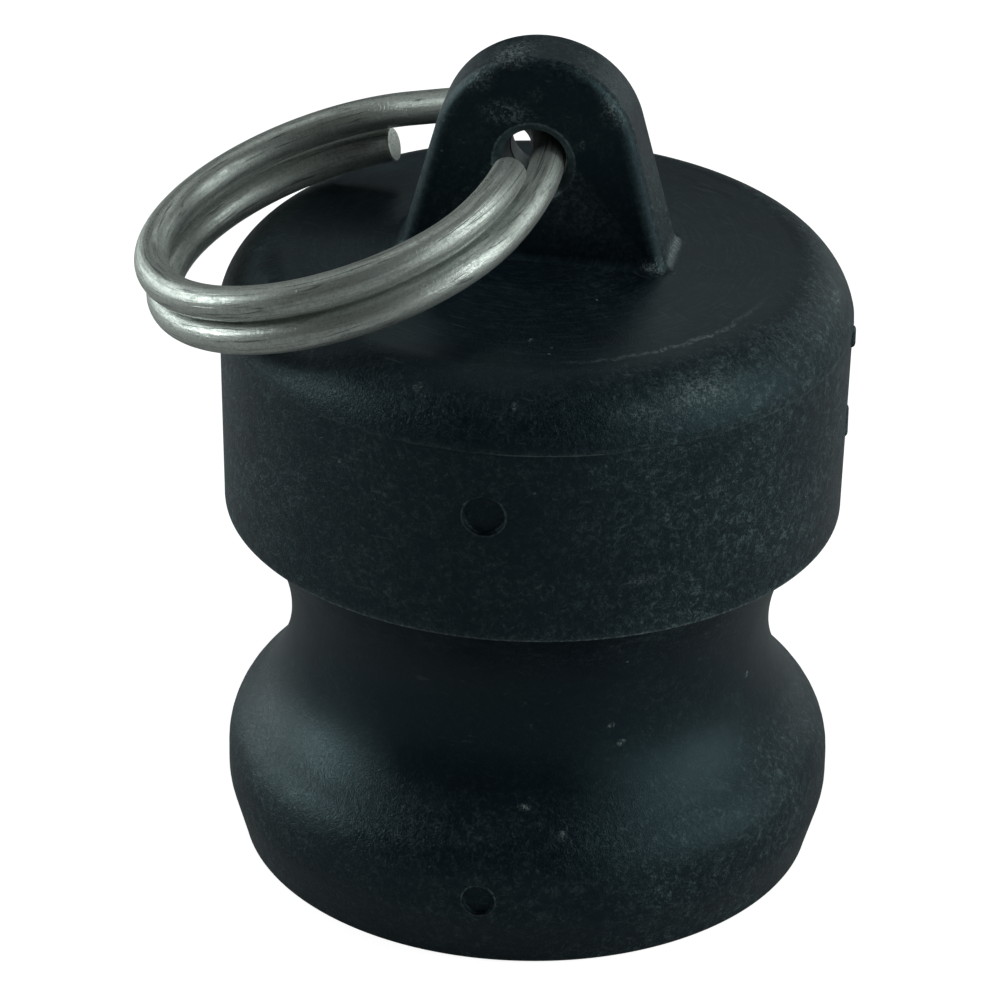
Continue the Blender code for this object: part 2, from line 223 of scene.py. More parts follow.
class RingShape(bpy.types.PropertyGroup):
    """Sizes of the split ring and how it lies."""
    wire_radius: length("Wire radius", "Half the wire's thickness", 1.0)
    coil_radius: length("Coil radius", "Radius of the coils to the wire's centre", 10.96)
    coil_gap: length("Coil gap", "Gap between the two coils", 0.16)
    set_out: length("Set out", "How far the hole lies outside the coils' circle", 1.13)
    sink: length("Sink", "How far the coils' middle lies below the hole", 0.31)
    slide: angle("Slide", "How far the ring has slid round through the hole", 17.1)
    roll: angle("Roll", "Sideways lean of the ring", 3.0)
    tilt: angle("Tilt", "How far the ring tips down to the head", 17.9292)
    wire_start: angle("Wire start", "Where the wire begins, round from the hole", 24.3)
    wire_end: angle("Wire end", "Where the wire ends, round from the hole", 652.8)
    cross_centre: angle("Crossover", "Where the wire steps from one coil to the other", 368.3)
    cross_half: angle("Crossover half length", "Half the length of that step", 36.0)
    bow: length("Bow", "How far the wire bows outwards by the hole", 1.8)
    bow_centre: angle("Bow centre", "Where the wire bows furthest out", 352.3)
    bow_half: angle("Bow half length", "Half the length of the bow", 50.0)
    end_lift: length("End lift", "How far the first end springs up", 0.3)
    lift_span: angle("Lift span", "Length over which the first end springs up", 40.0)
    end_chamfer: length("End chamfer", "Broken edge round the wire's cut ends", 0.12)
    points: IntProperty(name="Points", description="Points along the wire", default=560, min=60)
    sides: IntProperty(name="Sides", description="Facets round the wire", default=36, min=8)


class Finish(bpy.types.PropertyGroup):
    """Colours and surface of the plastic and the steel."""
    plastic: tint("Plastic", "Black polypropylene", (0.0020, 0.0056, 0.0110))
    bloom: tint("Bloom", "Greyish bloom on the plastic", (0.085, 0.122, 0.130))
    dust: tint("Dust", "Pale specks and scuffs", (0.36, 0.43, 0.43))
    plastic_roughness: share("Plastic roughness", "Dullness of the plastic", 0.45)
    plastic_gloss: share("Plastic gloss", "Strength of the plastic's reflections", 0.42)
    gloss_tint: tint("Gloss tint", "Colour of the plastic's reflections", (0.48, 0.80, 0.88))
    steel: tint("Steel", "Drawn steel wire", (0.64, 0.68, 0.64))
    tarnish: tint("Tarnish", "Dull streaks along the wire", (0.32, 0.355, 0.338))
    groove: tint("Groove", "Dark drawing lines along the wire", (0.07, 0.078, 0.078))
    steel_roughness: share("Steel roughness", "Dullness of the wire", 0.37)
    steel_metal: share("Steel metal", "How much the tarnished wire still mirrors like metal", 0.65)


class Studio(bpy.types.PropertyGroup):
    """Lamps, floor and camera."""
    floor: tint("Floor", "Pale floor", (0.45, 0.45, 0.45))
    surround: watts("Surround", "Strength of the room's light", 0.02)
    left_lamp: watts("Left lamp", "Power of the low softbox at the left", 1.3)
    left_rear_lamp: watts("Left rear lamp", "Power of the low softbox behind the left one", 0.70)
    left_high_lamp: watts("Left high lamp", "Power of the high softbox at the left", 0.20)
    right_lamp: watts("Right lamp", "Power of the low softbox at the right", 0.82)
    right_front_lamp: watts("Right front lamp", "Power of the low softbox at the right front", 0.32)
    right_high_lamp: watts("Right high lamp", "Power of the higher softbox at the right", 0.70)
    right_rear_lamp: watts("Right rear lamp", "Power of the low softbox behind at the right", 0.30)
    back_lamp: watts("Back lamp", "Power of the softbox behind", 0.2)
    mirrored_floor: share("Mirrored floor", "How bright gloss sees the floor's white", 0.05)
    lens: FloatProperty(name="Lens", description="Focal length in millimetres", default=217.49, min=1.0)


class DustPlug(bpy.types.PropertyGroup):
    """Everything that the operators read."""
    plug: PointerProperty(type=PlugShape)
    lug: PointerProperty(type=LugShape)
    ring: PointerProperty(type=RingShape)
    finish: PointerProperty(type=Finish)
    studio: PointerProperty(type=Studio)


class Term:
    """A number in a node tree, so that node maths reads as a formula."""

    def __init__(self, tree, value):
        self.tree = tree
        self.value = value

    def math(self, operation, *others, clamp=False):
        """Add a Math node that takes this number first."""
        made = add_node(self.tree, "ShaderNodeMath", operation=operation, use_clamp=clamp)
        for socket, item in zip(made.inputs, (self, *others)):
            feed(self.tree, socket, item)
        return Term(self.tree, made.outputs[0])

    def __add__(self, other):
        return self.math("ADD", other)

    def __sub__(self, other):
        return self.math("SUBTRACT", other)

    def __rsub__(self, other):
        return Term(self.tree, other) - self

    def __mul__(self, other):
        return self.math("MULTIPLY", other)

    def __truediv__(self, other):
        return self.math("DIVIDE", other)

    def __rtruediv__(self, other):
        return Term(self.tree, other) / self

    __radd__ = __add__
    __rmul__ = __mul__

    def clamped(self):
        """Held between 0 and 1."""
        return self.math("ADD", 0.0, clamp=True)

    def eased(self):
        """A smooth step from 0 to 1, by half a cosine."""
        return (1 - (self.clamped() * math.pi).math("COSINE")) / 2


def feed(tree, socket, item):
    """Link a socket or a Term to an input, or set the input's value."""
    item = item.value if isinstance(item, Term) else item
    if isinstance(item, bpy.types.NodeSocket):
        tree.links.new(item, socket)
    else:
        socket.default_value = item


def add_node(tree, kind, inputs=None, **settings):
    """Add a node, set its settings and feed its inputs by name or number."""
    made = tree.nodes.new(kind)
    for name, value in settings.items():
        setattr(made, name, value)
    for name, item in (inputs or {}).items():
        feed(tree, made.inputs[name], item)
    return made


def vector(tree, x, y, z=0.0):
    """A vector from its three numbers."""
    return add_node(tree, "ShaderNodeCombineXYZ", {"X": x, "Y": y, "Z": z}).outputs[0]


def parts_of(tree, place):
    """The three numbers of a vector, each as a Term."""
    made = add_node(tree, "ShaderNodeSeparateXYZ", {"Vector": place})
    return [Term(tree, socket) for socket in made.outputs]


def vector_math(tree, operation, *items):
    """A vector worked out from others by a Vector Math node."""
    return add_node(tree, "ShaderNodeVectorMath", dict(enumerate(items)), operation=operation).outputs[0]


def rotated(tree, place, axis, turn):
    """A vector turned about an axis through the origin."""
    inputs = {"Vector": place, "Angle": turn}
    return add_node(tree, "ShaderNodeVectorRotate", inputs, rotation_type=axis + "_AXIS").outputs[0]


def noise(tree, place, scale, detail=2.0, roughness=0.6, distortion=0.0):
    """The value of a Noise Texture, as a Term."""
    inputs = {
        "Vector": place,
        "Scale": scale,
        "Detail": detail,
        "Roughness": roughness,
        "Distortion": distortion,
    }
    return Term(tree, add_node(tree, "ShaderNodeTexNoise", inputs).outputs[0])


def new_group(name, kind, inputs, outputs):
    """A node group with its sockets, as (tree, its inputs' node, its outputs' node).

    An input is given its default value, or the name of its kind where it needs none.
    """
    kinds = {float: "Float", int: "Int", tuple: "Vector"}
    tree = bpy.data.node_groups.new(name, kind)
    for label, default in inputs.items():
        named = isinstance(default, str)
        socket_type = "NodeSocket" + (default if named else kinds[type(default)])
        socket = tree.interface.new_socket(label, in_out="INPUT", socket_type=socket_type)
        if not named:
            socket.default_value = default
    result_type = "NodeSocketGeometry" if kind == "GeometryNodeTree" else "NodeSocketFloat"
    for label in outputs:
        tree.interface.new_socket(label, in_out="OUTPUT", socket_type=result_type)
    return tree, tree.nodes.new("NodeGroupInput"), tree.nodes.new("NodeGroupOutput")


def give_out(tree, result, values):
    """Link a group's results to its outputs, and return the group."""
    for label, item in values.items():
        feed(tree, result.inputs[label], item)
    return tree


def dressed_mesh(tree, result, mesh, finish):
    """End a Geometry Nodes tree: realise the instances, set the material and put the mesh out."""
    real = add_node(tree, "GeometryNodeRealizeInstances", {"Geometry": mesh})
    dressed = add_node(tree, "GeometryNodeSetMaterial", {"Geometry": real.outputs[0], "Material": finish})
    return give_out(tree, result, {"Mesh": dressed.outputs[0]})


def set_inputs(modifier, values):
    """Give a Geometry Nodes modifier its values by the sockets' identifiers."""
    sockets = {item.name: item.identifier for item in modifier.node_group.interface.items_tree}
    for name, value in values.items():
        modifier[sockets[name]] = value


def plain_mesh(source, name):
    """The evaluated shape of an object as a mesh of its own, in world space."""
    bpy.context.view_layer.update()
    seen = source.evaluated_get(bpy.context.evaluated_depsgraph_get())
    mesh = bpy.data.meshes.new_from_object(seen)
    mesh.name = name
    mesh.transform(source.matrix_world)
    return mesh


def flat_faces_kept(mesh):
    """The same mesh with its shading led by the larger faces, so that flat ones look flat."""
    holder = linked(mesh.name + "_shading", mesh)
    weighted = holder.modifiers.new("flat_faces", "WEIGHTED_NORMAL")
    weighted.keep_sharp = True
    made = plain_mesh(holder, mesh.name)
    discard(holder)
    return made


def discard(*objects):
    """Remove helpers that have done their work."""
    for item in objects:
        bpy.data.objects.remove(item, do_unlink=True)


def linked(name, data):
    """A new object in the scene at the origin."""
    made = bpy.data.objects.new(name, data)
    bpy.context.scene.collection.objects.link(made)
    return made


def built(name, shape):
    """Make a bmesh an object and free it."""
    mesh = bpy.data.meshes.new(name)
    shape.to_mesh(mesh)
    shape.free()
    return linked(name, mesh)


def arc(centre, radius, start, end, spacing):
    """Points on a circle from one angle to another in degrees, no further apart than a spacing."""
    count = math.ceil(math.radians(abs(end - start)) * radius / spacing)
    return arc_in_steps(centre, radius, start, end, max(2, count))


def arc_in_steps(centre, radius, start, end, count):
    """Points on a circle from one angle to another in degrees, in a number of steps."""
    angles = [math.radians(start + (end - start) * k / count) for k in range(count + 1)]
    return [(centre[0] + radius * math.cos(a), centre[1] + radius * math.sin(a)) for a in angles]


def scoop_radius(height, depth):
    """Radius of the arc that is upright at one end and reaches a depth over a height."""
    return (height**2 + depth**2) / (2 * depth)


def spread(points, spacing):
    """Add points on long straight runs, so that none is longer than a spacing."""
    out = [points[0]]
    for start, end in zip(points, points[1:]):
        count = max(1, math.ceil(math.dist(start, end) / spacing))
        for k in range(1, count + 1):
            out.append(tuple(a + (b - a) * k / count for a, b in zip(start, end)))
    return out


def softened(points, corner, reach):
    """Round one corner of an outline over a reach to each side of it."""
    place = min(range(len(points)), key=lambda k: math.dist(points[k], corner))
    before = place
    while math.dist(points[before], corner) < reach:
        before -= 1
    after = place
    while math.dist(points[after], corner) < reach:
        after += 1
    ends = []
    for k in (before, after):
        part = reach / math.dist(points[k], corner)
        ends.append(tuple(c + (p - c) * part for c, p in zip(corner, points[k])))
    bend = []
    for k in range(BEND_STEPS + 1):
        t = k / BEND_STEPS
        axes = zip(ends[0], corner, ends[1])
        bend.append(tuple((1 - t) ** 2 * a + 2 * t * (1 - t) * c + t * t * b for a, c, b in axes))
    return points[: before + 1] + bend + points[after:]


class PlugHeights:
    """Heights and radii that follow from the plug's sizes."""

    def __init__(self, plug, lug):
        self.flange = plug.nose_height
        self.crest_foot = self.flange + plug.flange_height
        bend_reach = plug.groove_round + plug.crest_round
        self.bend = math.acos((bend_reach - plug.groove_depth) / bend_reach)
        self.neck = self.crest_foot + bend_reach * math.sin(self.bend)
        self.head_foot = self.neck + plug.groove_upper
        self.lip = self.head_foot + plug.head_side
        self.shoulder = self.lip - plug.shoulder_drop
        self.crown_edge = self.shoulder + plug.shoulder_radius
        self.crown = self.crown_edge + plug.crown_rise
        self.roof = self.crown - plug.top_wall
        self.lug_arc = self.crown + lug.rise
        self.lug_top = self.lug_arc + lug.arc_radius
        self.neck_radius = plug.body_radius - plug.groove_depth
        self.foot_radius = plug.body_radius + plug.foot_proud
        self.head_radius = self.foot_radius + plug.head_taper
        self.lip_radius = self.head_radius + plug.lip_proud
        reach = math.sqrt(plug.shoulder_radius**2 - plug.shoulder_drop**2)
        self.crown_edge_radius = self.lip_radius - reach
        self.core_radius = self.neck_radius - plug.neck_wall
        self.crown_rise = plug.crown_rise

    def crown_at(self, radius):
        """Height of the domed top at a radius."""
        share_out = min(radius, self.crown_edge_radius) / self.crown_edge_radius
        return self.crown - self.crown_rise * share_out**2


def head_outline(plug, at, spacing):
    """The head from its top centre down to its sharp foot."""
    steps = 28
    radii = [at.crown_edge_radius * k / steps for k in range(steps)]
    crown = [(radius, at.crown_at(radius)) for radius in radii]
    lip_angle = math.degrees(math.asin(plug.shoulder_drop / plug.shoulder_radius))
    shoulder = arc((at.crown_edge_radius, at.shoulder), plug.shoulder_radius, 90, lip_angle, spacing * 0.6)
    side = spread([(at.head_radius, at.lip), (at.foot_radius, at.head_foot)], spacing)
    return crown + shoulder + side


def groove_outline(plug, at, spacing):
    """The cam groove from the ledge under the head down onto the round crest."""
    upper = scoop_radius(plug.groove_upper, at.foot_radius - plug.foot_ledge - at.neck_radius)
    upper_angle = math.degrees(math.asin(plug.groove_upper / upper))
    above = arc((at.neck_radius + upper, at.neck), upper, 180 - upper_angle, 180, spacing)
    lower_centre = (at.neck_radius + plug.groove_round, at.neck)
    below = arc(lower_centre, plug.groove_round, 180, 180 + math.degrees(at.bend), spacing)
    return above + below[1:]


def nose_outline(plug, at, spacing):
    """The crest, the flange and the cone under it, down to the tip face."""
    crest_centre = (plug.body_radius - plug.crest_round, at.crest_foot)
    crest = arc(crest_centre, plug.crest_round, math.degrees(at.bend), 0, spacing)
    blend_centre = (plug.body_radius - plug.nose_blend, at.flange)
    blend = arc(blend_centre, plug.nose_blend, 0, -math.degrees(plug.nose_angle), spacing)
    foot = blend[-1][0] - (blend[-1][1] - plug.tip_round) * math.tan(plug.nose_angle)
    tip = arc((foot - plug.tip_round, plug.tip_round), plug.tip_round, 0, -90, spacing / 5)
    return spread(crest[1:] + blend + tip, spacing)


def core_outline(plug, at, spacing):
    """The cored underside, from its mouth up to the roof's centre."""
    slope = math.tan(plug.core_draft)
    mouth = at.core_radius + at.neck * slope
    roof = at.core_radius - (at.roof - at.neck) * slope
    rim = [(mouth + plug.mouth_chamfer, 0.0), (mouth, plug.mouth_chamfer)]
    fillet = arc((roof - plug.core_fillet, at.roof - plug.core_fillet), plug.core_fillet, 0, 90, spacing)
    return spread(rim + fillet + [(0.0, at.roof)], spacing * 2)


def plug_outline(plug, at):
    """The whole turned outline with its small edges broken."""
    outline = []
    for stretch in (head_outline, groove_outline, nose_outline, core_outline):
        outline += stretch(plug, at, SPACING)
    near = 0.001 * MM
    lip_edge = next(spot for spot in outline if spot[1] <= at.lip + near and spot[0] > at.head_radius + near)
    lip_bluntness = 0.04 * MM
    foot_bluntness = 0.12 * MM
    outline = softened(outline, lip_edge, lip_bluntness)
    return softened(outline, (at.foot_radius, at.head_foot), foot_bluntness)


def turning_tree():
    """Geometry Nodes that turn an outline about Z, with the small faults of a moulding."""
    inputs = {
        "Outline": "Geometry",
        "Steps": 96,
        "Unevenness": 0.0,
        "Flash": 0.0,
        "Flash Height": 0.0,
        "Finish": "Material",
    }
    tree, given, result = new_group("Turned Moulding", "GeometryNodeTree", inputs, ("Mesh",))
    outline = given.outputs["Outline"]
    count = add_node(tree, "GeometryNodeAttributeDomainSize", {"Geometry": outline})
    rows = Term(tree, count.outputs["Point Count"])
    columns = Term(tree, given.outputs["Steps"]) + 1
    grid = add_node(tree, "GeometryNodeMeshGrid", {"Vertices X": columns, "Vertices Y": rows})
    column, row, _ = parts_of(tree, grid.outputs["UV Map"])
    sample = add_node(
        tree,
        "GeometryNodeSampleIndex",
        {"Geometry": outline, "Index": (row * (rows - 1)).math("ROUND")},
        data_type="FLOAT_VECTOR",
        domain="POINT",
    )
    tree.links.new(add_node(tree, "GeometryNodeInputPosition").outputs[0], sample.inputs["Value"])
    radius, _, height = parts_of(tree, sample.outputs["Value"])
    turn = column * math.tau
    across = turn.math("COSINE")
    along = turn.math("SINE")
    clean = vector(tree, radius * across, radius * along, height)
    sag = noise(tree, clean, 0.11 / MM, detail=1.0, roughness=0.4)
    ragged = noise(tree, clean, 0.9 / MM, roughness=0.7)
    flash_reach = 0.25 * MM
    steady_core = 2.0 * MM
    off_lip = (height - given.outputs["Flash Height"]).math("ABSOLUTE") / flash_reach
    near_lip = (1 - off_lip.clamped()).eased()
    dents = (sag - 0.25).clamped() * given.outputs["Unevenness"]
    raggedness = ragged.eased() * near_lip * given.outputs["Flash"]
    off_axis = (radius / steady_core).clamped()
    real_radius = radius - (dents + raggedness) * off_axis
    moved = vector(tree, real_radius * across, real_radius * along, height)
    shaped = add_node(tree, "GeometryNodeSetPosition", {"Geometry": grid.outputs["Mesh"], "Position": moved})
    closed = add_node(tree, "GeometryNodeMergeByDistance", {"Geometry": shaped.outputs[0], "Distance": 1e-6})
    return dressed_mesh(tree, result, closed.outputs[0], given.outputs["Finish"])


def turned(name, outline, values):
    """A closed mesh object turned from an outline about Z."""
    mesh = bpy.data.meshes.new(name)
    edges = [(k, k + 1) for k in range(len(outline) - 1)]
    mesh.from_pydata([(radius, 0.0, height) for radius, height in outline], edges, [])
    source = linked(name + "_outline", mesh)
    modifier = source.modifiers.new("turn", "NODES")
    modifier.node_group = bpy.data.node_groups.get("Turned Moulding") or turning_tree()
    set_inputs(modifier, values)
    made = plain_mesh(source, name)
    discard(source)
    shape = bmesh.new()
    shape.from_mesh(made)
    bmesh.ops.recalc_face_normals(shape, faces=shape.faces)
    shape.to_mesh(made)
    shape.free()
    return linked(name, made)


def mark_edges(mesh):
    """Store how sharply each point stands out from its surroundings, for worn edges."""
    shape = bmesh.new()
    shape.from_mesh(mesh)
    shape.normal_update()
    values = []
    for vert in shape.verts:
        bend = 0.0
        for edge in vert.link_edges:
            away = edge.other_vert(vert).co - vert.co
            bend = max(bend, -2 * vert.normal.dot(away) / max(away.length_squared, 1e-12))
        values.append(min(max((bend * MM - WEAR_FROM) / WEAR_SPAN, 0.0), 1.0))
    shape.free()
    mesh.attributes.new("edge_wear", "FLOAT", "POINT").data.foreach_set("value", values)


def shaded(mesh):
    """Smooth shading with sharp edges where a mesh turns a corner, and its wear stored."""
    mesh.shade_smooth()
    mesh.set_sharp_from_angle(angle=SHARP_ANGLE)
    mark_edges(mesh)


def skin(shape, loops):
    """Close a row of loops of equal length into a solid."""
    count = len(loops[0])
    for near, far in zip(loops, loops[1:]):
        for k in range(count):
            after = (k + 1) % count
            shape.faces.new((near[k], near[after], far[after], far[k]))
    shape.faces.new(loops[0])
    shape.faces.new(list(reversed(loops[-1])))


def lug_outline(at, lug, inset):
    """The lug seen from the front, moved inwards by an inset, from right foot to left foot."""
    foot = Vector((lug.foot_width / 2, at.crown_at(lug.foot_width / 2) + lug.fillet))
    rise = at.lug_arc - foot.y
    tangent = math.degrees(math.acos(lug.arc_radius / math.hypot(foot.x, rise)) - math.atan2(rise, foot.x))
    top = arc_in_steps((0.0, at.lug_arc), lug.arc_radius - inset, tangent, 180 - tangent, 72)
    root_z = at.crown_edge - 1.0 * MM
    root_x = top[0][0] + (top[0][1] - root_z) * math.tan(math.radians(tangent))
    return [(root_x, root_z)] + top + [(-root_x, root_z)]


def lug_half(at, lug, height):
    """Half the lug's thickness at a height."""
    return lug.thickness / 2 + (at.lug_top - height) * math.tan(lug.draft)


def lug_flare(lug, height):
    """How far the foot fillet spreads at a height over the head's top."""
    lowest = lug.fillet * (1 - math.sin(math.radians(FILLET_SWEEP)))
    rise = min(max(height, lowest), lug.fillet)
    return lug.fillet - math.sqrt(lug.fillet**2 - (lug.fillet - rise) ** 2)


def lug_piece(at, lug):
    """The lug as a closed mesh: loops from back to front, rounded edges and a flared foot."""
    shape = bmesh.new()
    turns = 8
    loops = []
    for side in (1, -1):
        steps = range(turns + 1) if side == 1 else range(turns, -1, -1)
        for k in steps:
            bend = math.radians(90 - 90 * k / turns)
            outline = lug_outline(at, lug, lug.edge * (1 - math.cos(bend)))
            setback = lug.edge * (1 - math.sin(bend))
            spots = [(x, side * (lug_half(at, lug, z) - setback), z) for x, z in outline]
            loops.append([shape.verts.new(spot) for spot in spots])
    skin(shape, loops)
    for bend in range(0, FILLET_SWEEP + 1, 10):
        level = at.crown_edge + lug.fillet * (1 - math.sin(math.radians(bend)))
        cut = shape.verts[:] + shape.edges[:] + shape.faces[:]
        bmesh.ops.bisect_plane(shape, geom=cut, plane_co=(0, 0, level), plane_no=(0, 0, 1))
    for vert in shape.verts:
        height = vert.co.z - at.crown_edge
        if height > lug.fillet:
            continue
        wider = lug_flare(lug, height)
        vert.co.x += wider * vert.co.x / (lug.foot_width / 2)
        vert.co.y += wider * vert.co.y / lug_half(at, lug, vert.co.z)
        vert.co.z += at.crown_at(math.hypot(vert.co.x, vert.co.y)) - at.crown_edge
    bmesh.ops.recalc_face_normals(shape, faces=shape.faces)
    return built("lug", shape)


def dimple_piece(name, radius, height, floor, surface):
    """The cutter of a round dimple in the front, with its floor at a distance from the axis."""
    edge = 0.12 * MM
    past = surface + 1.0 * MM
    return round_piece(name, height, [(radius - edge, floor), (radius, floor + edge), (radius, past)])


def burr_piece(name, radius, height, surface, proud):
    """The thin raised rim round a dimple, sunk into the wall so that only its crest shows."""
    width = 0.11 * MM
    root = surface - 0.3 * MM
    crest = surface + proud
    rings = [(radius + width, root), (radius + width, crest - width / 2), (radius, crest)]
    return round_piece(name, height, rings)


def round_piece(name, height, rings):
    """A short round body along Y on the front, from rings of (radius, distance from the axis)."""
    shape = bmesh.new()
    loops = []
    for ring_radius, distance in rings:
        loop = []
        for k in range(ROUND_SIDES):
            turn = math.tau * k / ROUND_SIDES
            spot = (ring_radius * math.cos(turn), -distance, height + ring_radius * math.sin(turn))
            loop.append(shape.verts.new(spot))
        loops.append(loop)
    skin(shape, loops)
    bmesh.ops.recalc_face_normals(shape, faces=shape.faces)
    return built(name, shape)


def ridge_piece(name, lug, middle, height, face):
    """A short upright ridge on the right side, rounded, with its crest at a distance."""
    depth = 1.2 * MM
    shape = bmesh.new()
    size = Matrix.Diagonal((depth, lug.ridge_width, height, 1.0))
    place = Matrix.Rotation(lug.ridge_turn, 4, "Z") @ Matrix.Translation((face - depth / 2, 0, middle))
    bmesh.ops.create_cube(shape, size=1.0, matrix=place @ size)
    rounding = {"offset": lug.ridge_edge, "segments": 4, "profile": 0.5}
    bmesh.ops.bevel(shape, geom=shape.edges[:], affect="EDGES", **rounding)
    return built(name, shape)


def hole_piece(at, lug):
    """The cutter of the lug's hole: flared at each rim, narrowest at the flash line in the middle."""
    face = lug_half(at, lug, HOLE.z)
    past = face + 1.0 * MM
    clear = 0.02 * MM
    flash_proud = 0.04 * MM
    flash_foot = 0.06 * MM
    flash_crest = 0.02 * MM
    rim = lug.hole_radius + lug.hole_flare
    flare = [
        (rim, face),
        (lug.hole_radius, face - lug.hole_flare_depth),
        (lug.hole_waist, flash_foot),
        (lug.hole_waist - flash_proud, flash_crest),
    ]
    half = [(0.0, past), (rim + clear, past), (rim + clear, face + clear)] + flare
    outline = half + [(radius, -z) for radius, z in reversed(half)]
    cutter = turned("hole", outline, {"Steps": 96, "Unevenness": 0.0, "Flash": 0.0})
    cutter.data.transform(Matrix.Translation((0, 0, HOLE.z)) @ Matrix.Rotation(math.radians(90), 4, "X"))
    return cutter


def place_of(tree):
    """Object coordinates in millimetres, so that pattern sizes read as real sizes."""
    spot = add_node(tree, "ShaderNodeTexCoord")
    return vector_math(tree, "MULTIPLY", spot.outputs["Object"], (1 / MM,) * 3)


def polar_group():
    """Radius, height and angle in degrees round an upright axis at a given x, 0 in front."""
    inputs = {"Place": "Vector", "Axis": 0.0}
    outputs = ("Radius", "Angle", "Height")
    tree, given, result = new_group("Round The Axis", "ShaderNodeTree", inputs, outputs)
    x, y, height = parts_of(tree, given.outputs["Place"])
    across = x - given.outputs["Axis"]
    front = y * -1.0
    radius = (across * across + front * front).math("SQRT")
    turn = across.math("ARCTAN2", front).math("DEGREES")
    return give_out(tree, result, {"Radius": radius, "Angle": turn, "Height": height})


def mottle_group():
    """Fine worm-like grain, flecks and soft clouds, for moulded plastic and tarnished wire alike."""
    inputs = {"Place": "Vector", "Grain Size": 0.3, "Cloud Size": 4.0}
    tree, given, result = new_group("Mottle", "ShaderNodeTree", inputs, ("Grain", "Cloud", "Fleck"))
    place = given.outputs["Place"]
    fine = 1.0 / Term(tree, given.outputs["Grain Size"])
    wide = 1.0 / Term(tree, given.outputs["Cloud Size"])
    grain = stretched(noise(tree, place, fine, distortion=1.2), 0.42, 0.70)
    cloud = stretched(noise(tree, place, wide, detail=3.0, roughness=0.55), 0.34, 0.66)
    fleck = noise(tree, place, fine * 0.4, detail=4.0, roughness=0.75, distortion=0.8)
    fleck = stretched(fleck, 0.46, 0.70)
    return give_out(tree, result, {"Grain": grain, "Cloud": cloud, "Fleck": fleck})


def speck_group():
    """Sparse round specks of dust."""
    inputs = {"Place": "Vector", "Spacing": 1.0, "Size": 0.1, "Share": 0.2}
    tree, given, result = new_group("Specks", "ShaderNodeTree", inputs, ("Mask",))
    place, spacing, size, chosen_share, _ = given.outputs
    density = 1.0 / Term(tree, spacing)
    cells = add_node(tree, "ShaderNodeTexVoronoi", {"Vector": place, "Scale": density})
    chance = add_node(tree, "ShaderNodeSeparateColor", {"Color": cells.outputs["Color"]})
    reach = Term(tree, size) / spacing
    near = (1 - Term(tree, cells.outputs["Distance"]) / reach).clamped()
    chosen = Term(tree, chance.outputs["Red"]).math("LESS_THAN", chosen_share)
    strength = Term(tree, chance.outputs["Green"]) * 0.8 + 0.2
    return give_out(tree, result, {"Mask": near.eased() * chosen * strength})


def scuff_group():
    """Fine short scratches that run roughly one way, broken up by a larger mask."""
    inputs = {"Place": "Vector", "Stretch": (1.0, 8.0, 8.0), "Turn": 0.0, "Threshold": 0.62}
    tree, given, result = new_group("Scuffs", "ShaderNodeTree", inputs, ("Mask",))
    place = given.outputs["Place"]
    along = rotated(tree, place, "Z", given.outputs["Turn"])
    drawn = vector_math(tree, "MULTIPLY", along, given.outputs["Stretch"])
    line = ((noise(tree, drawn, 0.6, detail=3.0) - given.outputs["Threshold"]) / 0.08).clamped()
    patch = stretched(noise(tree, place, 0.35, roughness=0.5), 0.48, 0.6)
    return give_out(tree, result, {"Mask": line * patch})


def stretched(term, low, high):
    """Map a range to 0 to 1 and hold it there."""
    return ((term - low) / (high - low)).clamped()


def band(term, centre, reach):
    """1 on a centre, falling to 0 at a reach to each side."""
    return (1 - (term - centre).math("ABSOLUTE") / reach).clamped()


def group_node(tree, name, inputs):
    """Place a shared effect in a material, and return its outputs as Terms."""
    makers = {
        "Mottle": mottle_group,
        "Specks": speck_group,
        "Scuffs": scuff_group,
        "Round The Axis": polar_group,
    }
    made = tree.nodes.new("ShaderNodeGroup")
    made.node_tree = bpy.data.node_groups.get(name) or makers[name]()
    for label, item in inputs.items():
        feed(tree, made.inputs[label], item)
    return [Term(tree, socket) for socket in made.outputs]


def new_material(name):
    """An empty material, as (material, tree, Principled BSDF)."""
    made = bpy.data.materials.new(name)
    made.use_nodes = True
    return made, made.node_tree, made.node_tree.nodes["Principled BSDF"]


def mixed(tree, share_of_second, first, second):
    """Blend two colours, each a socket or a red, green and blue."""
    made = add_node(tree, "ShaderNodeMix", data_type="RGBA")
    feed(tree, made.inputs[0], share_of_second)
    for socket, colour in ((made.inputs[6], first), (made.inputs[7], second)):
        feed(tree, socket, colour if isinstance(colour, bpy.types.NodeSocket) else (*colour, 1.0))
    return made.outputs[2]


def attribute(tree, name):
    """The outputs of one of the mesh's own attributes."""
    return add_node(tree, "ShaderNodeAttribute", attribute_name=name, attribute_type="GEOMETRY").outputs


def finish_surface(tree, shader, colour, roughness, heights, strength, depth):
    """Feed a Principled BSDF its colour and roughness, and a bump with a depth in millimetres."""
    feed(tree, shader.inputs["Base Color"], colour)
    feed(tree, shader.inputs["Roughness"], roughness.clamped())
    bump = add_node(tree, "ShaderNodeBump", {"Height": heights, "Strength": strength, "Distance": depth * MM})
    feed(tree, shader.inputs["Normal"], bump.outputs[0])


def swung(tree, place, centre):
    """A place as seen along the hole's axis from its centre, with that axis as the height."""
    x, y, z = parts_of(tree, vector_math(tree, "SUBTRACT", place, tuple(centre)))
    return vector(tree, x, z, y)


